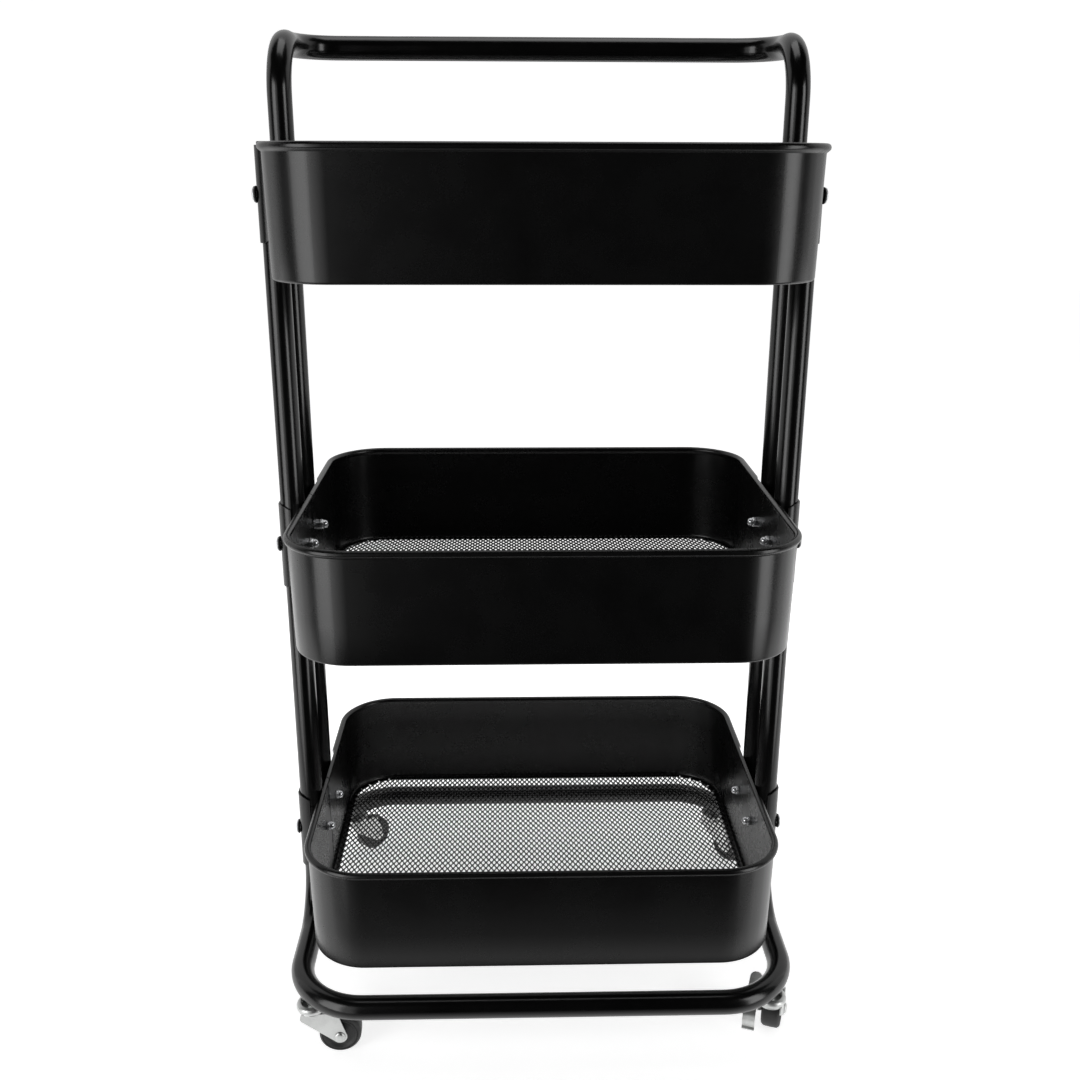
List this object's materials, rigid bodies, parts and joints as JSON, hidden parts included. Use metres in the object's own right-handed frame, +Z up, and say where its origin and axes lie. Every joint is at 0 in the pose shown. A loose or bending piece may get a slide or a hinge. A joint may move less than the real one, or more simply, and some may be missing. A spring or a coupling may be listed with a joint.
{
  "type": "wire shelf cart",
  "caption": "Rolling cart with stacked mesh-floored baskets between bent tube uprights, a push handle at the rear and swivel casters, some with a brake lever.",
  "frame": {"origin": "on the floor, under the middle of the cart", "axes": "+X across the cart to the right as seen from the front, +Y from the front to the handle side at the rear, +Z up"},
  "size_m": [0.4597, 0.3622, 0.8332],
  "materials": {
    "frame_paint": "satin black powder coat",
    "basket_paint": "satin black powder coat on sheet steel",
    "mesh_paint": "black powder coat on expanded metal",
    "bracket_paint": "satin black powder coat",
    "screw_steel": "zinc-plated machine screw",
    "cap_nut_chrome": "bright nickel plate",
    "caster_zinc": "bright zinc plate on pressed steel",
    "wheel_plastic": "moulded black plastic"
  },
  "bodies": {
    "root": {"handle_tube": "frame_paint", "front_left_upright": "frame_paint", "front_right_upright": "frame_paint", "front_base_tube": "frame_paint", "rear_base_tube": "frame_paint", "lower_basket_shell": "basket_paint", "lower_mesh_floor": "mesh_paint", "middle_basket_shell": "basket_paint", "middle_mesh_floor": "mesh_paint", "upper_basket_shell": "basket_paint", "upper_mesh_floor": "mesh_paint", "lower_left_bracket": "bracket_paint", "lower_left_front_bolt": "screw_steel", "lower_left_front_cap_nut": "cap_nut_chrome", "lower_left_rear_bolt": "screw_steel", "lower_left_rear_cap_nut": "cap_nut_chrome", "lower_right_bracket": "bracket_paint", "lower_right_front_bolt": "screw_steel", "lower_right_front_cap_nut": "cap_nut_chrome", "lower_right_rear_bolt": "screw_steel", "lower_right_rear_cap_nut": "cap_nut_chrome", "middle_left_bracket": "bracket_paint", "middle_left_front_bolt": "screw_steel", "middle_left_front_cap_nut": "cap_nut_chrome", "middle_left_rear_bolt": "screw_steel", "middle_left_rear_cap_nut": "cap_nut_chrome", "middle_right_bracket": "bracket_paint", "middle_right_front_bolt": "screw_steel", "middle_right_front_cap_nut": "cap_nut_chrome", "middle_right_rear_bolt": "screw_steel", "middle_right_rear_cap_nut": "cap_nut_chrome", "upper_left_bracket": "bracket_paint", "upper_left_front_bolt": "screw_steel", "upper_left_front_cap_nut": "cap_nut_chrome", "upper_left_rear_bolt": "screw_steel", "upper_left_rear_cap_nut": "cap_nut_chrome", "upper_right_bracket": "bracket_paint", "upper_right_front_bolt": "screw_steel", "upper_right_front_cap_nut": "cap_nut_chrome", "upper_right_rear_bolt": "screw_steel", "upper_right_rear_cap_nut": "cap_nut_chrome", "front_left_caster_stem": "caster_zinc", "front_right_caster_stem": "caster_zinc", "rear_left_caster_stem": "caster_zinc", "rear_right_caster_stem": "caster_zinc"},
    "front_left_fork": {"front_left_caster_fork": "caster_zinc", "front_left_caster_axle": "caster_zinc"},
    "front_left_wheel": {"front_left_caster_wheel": "wheel_plastic"},
    "front_right_fork": {"front_right_caster_fork": "caster_zinc", "front_right_caster_axle": "caster_zinc"},
    "front_right_wheel": {"front_right_caster_wheel": "wheel_plastic"},
    "front_right_lever": {"front_right_brake_lever": "caster_zinc"},
    "rear_left_fork": {"rear_left_caster_fork": "caster_zinc", "rear_left_caster_axle": "caster_zinc"},
    "rear_left_wheel": {"rear_left_caster_wheel": "wheel_plastic"},
    "rear_right_fork": {"rear_right_caster_fork": "caster_zinc", "rear_right_caster_axle": "caster_zinc"},
    "rear_right_wheel": {"rear_right_caster_wheel": "wheel_plastic"},
    "rear_right_lever": {"rear_right_brake_lever": "caster_zinc"}
  },
  "joints": [
    {"name": "front_left_swivel", "type": "hinge", "parent": "root", "child": "front_left_fork", "pos_m": [-0.1971, -0.14851, 0.0416], "axis": [0, 0, 1], "continuous": true},
    {"name": "front_left_spin", "type": "hinge", "parent": "front_left_fork", "child": "front_left_wheel", "pos_m": [-0.17414, -0.1473, 0.018], "axis": [-0.0523, 0.9986, 0], "continuous": true},
    {"name": "front_right_swivel", "type": "hinge", "parent": "root", "child": "front_right_fork", "pos_m": [0.1971, -0.14851, 0.0416], "axis": [0, 0, 1], "continuous": true},
    {"name": "front_right_spin", "type": "hinge", "parent": "front_right_fork", "child": "front_right_wheel", "pos_m": [0.20497, -0.1269, 0.018], "axis": [-0.9397, 0.342, 0], "continuous": true},
    {"name": "front_right_brake", "type": "hinge", "parent": "front_right_fork", "child": "front_right_lever", "pos_m": [0.20497, -0.1269, 0.018], "axis": [0.9397, -0.342, 0], "range_deg": [0, 10]},
    {"name": "rear_left_swivel", "type": "hinge", "parent": "root", "child": "rear_left_fork", "pos_m": [-0.1971, 0.14851, 0.0416], "axis": [0, 0, 1], "continuous": true},
    {"name": "rear_left_spin", "type": "hinge", "parent": "rear_left_fork", "child": "rear_left_wheel", "pos_m": [-0.18056, 0.16449, 0.018], "axis": [-0.6947, 0.7193, 0], "continuous": true},
    {"name": "rear_right_swivel", "type": "hinge", "parent": "root", "child": "rear_right_fork", "pos_m": [0.1971, 0.14851, 0.0416], "axis": [0, 0, 1], "continuous": true},
    {"name": "rear_right_spin", "type": "hinge", "parent": "rear_right_fork", "child": "rear_right_wheel", "pos_m": [0.21337, 0.13224, 0.018], "axis": [0.7071, 0.7071, 0], "continuous": true},
    {"name": "rear_right_brake", "type": "hinge", "parent": "rear_right_fork", "child": "rear_right_lever", "pos_m": [0.21337, 0.13224, 0.018], "axis": [-0.7071, -0.7071, 0], "range_deg": [0, 10]}
  ]
}
